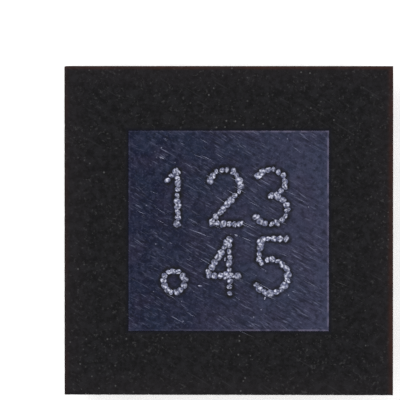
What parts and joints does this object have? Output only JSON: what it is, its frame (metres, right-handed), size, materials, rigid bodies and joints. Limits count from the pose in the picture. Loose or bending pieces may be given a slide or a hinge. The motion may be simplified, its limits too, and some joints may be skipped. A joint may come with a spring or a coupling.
{
  "type": "oscillator chip in a fan-out ball grid package",
  "caption": "Square clock oscillator chip: a bare-backed silicon die in a black moulded frame, with a copper fan-out layer and a full grid of solder balls below.",
  "frame": {"origin": "middle of the plane in which the flats of the solder balls rest", "axes": "+Z out of the chip's top, +X along a row of balls from column 1 to 6, +Y from row a to row f; ball a1 is at -X -Y"},
  "size_m": [0.003, 0.003, 0.0007],
  "materials": {
    "moulding_compound": "matte, ground on top, sawn at the sides",
    "ground_silicon": "fine ground, dark navy",
    "inner_polymer": "smooth dark polymer film",
    "solder_stop_polymer": "smooth black polymer film",
    "plated_copper": "plated copper",
    "reflowed_solder": "frosted, dimpled solder"
  },
  "bodies": {
    "root": {"mould_frame": "moulding_compound", "silicon_die": "ground_silicon", "inner_film": "inner_polymer", "solder_stop": "solder_stop_polymer", "trace_f6": "plated_copper", "trace_f5": "plated_copper", "trace_f4": "plated_copper", "trace_f3": "plated_copper", "trace_f2": "plated_copper", "trace_f1": "plated_copper", "trace_e6": "plated_copper", "trace_d6": "plated_copper", "trace_c6": "plated_copper", "trace_b6": "plated_copper", "trace_a6": "plated_copper", "trace_a5": "plated_copper", "trace_a2": "plated_copper", "trace_b1": "plated_copper", "trace_e1": "plated_copper", "ground_copper": "plated_copper", "supply_copper": "plated_copper", "trace_a1_b2": "plated_copper", "trace_c1_c2": "plated_copper", "trace_d1_d2": "plated_copper", "ball_a1": "reflowed_solder", "ball_a2": "reflowed_solder", "ball_a3": "reflowed_solder", "ball_a4": "reflowed_solder", "ball_a5": "reflowed_solder", "ball_a6": "reflowed_solder", "ball_b1": "reflowed_solder", "ball_b2": "reflowed_solder", "ball_b3": "reflowed_solder", "ball_b4": "reflowed_solder", "ball_b5": "reflowed_solder", "ball_b6": "reflowed_solder", "ball_c1": "reflowed_solder", "ball_c2": "reflowed_solder", "ball_c3": "reflowed_solder", "ball_c4": "reflowed_solder", "ball_c5": "reflowed_solder", "ball_c6": "reflowed_solder", "ball_d1": "reflowed_solder", "ball_d2": "reflowed_solder", "ball_d3": "reflowed_solder", "ball_d4": "reflowed_solder", "ball_d5": "reflowed_solder", "ball_d6": "reflowed_solder", "ball_e1": "reflowed_solder", "ball_e2": "reflowed_solder", "ball_e3": "reflowed_solder", "ball_e4": "reflowed_solder", "ball_e5": "reflowed_solder", "ball_e6": "reflowed_solder", "ball_f1": "reflowed_solder", "ball_f2": "reflowed_solder", "ball_f3": "reflowed_solder", "ball_f4": "reflowed_solder", "ball_f5": "reflowed_solder", "ball_f6": "reflowed_solder"}
  },
  "joints": []
}
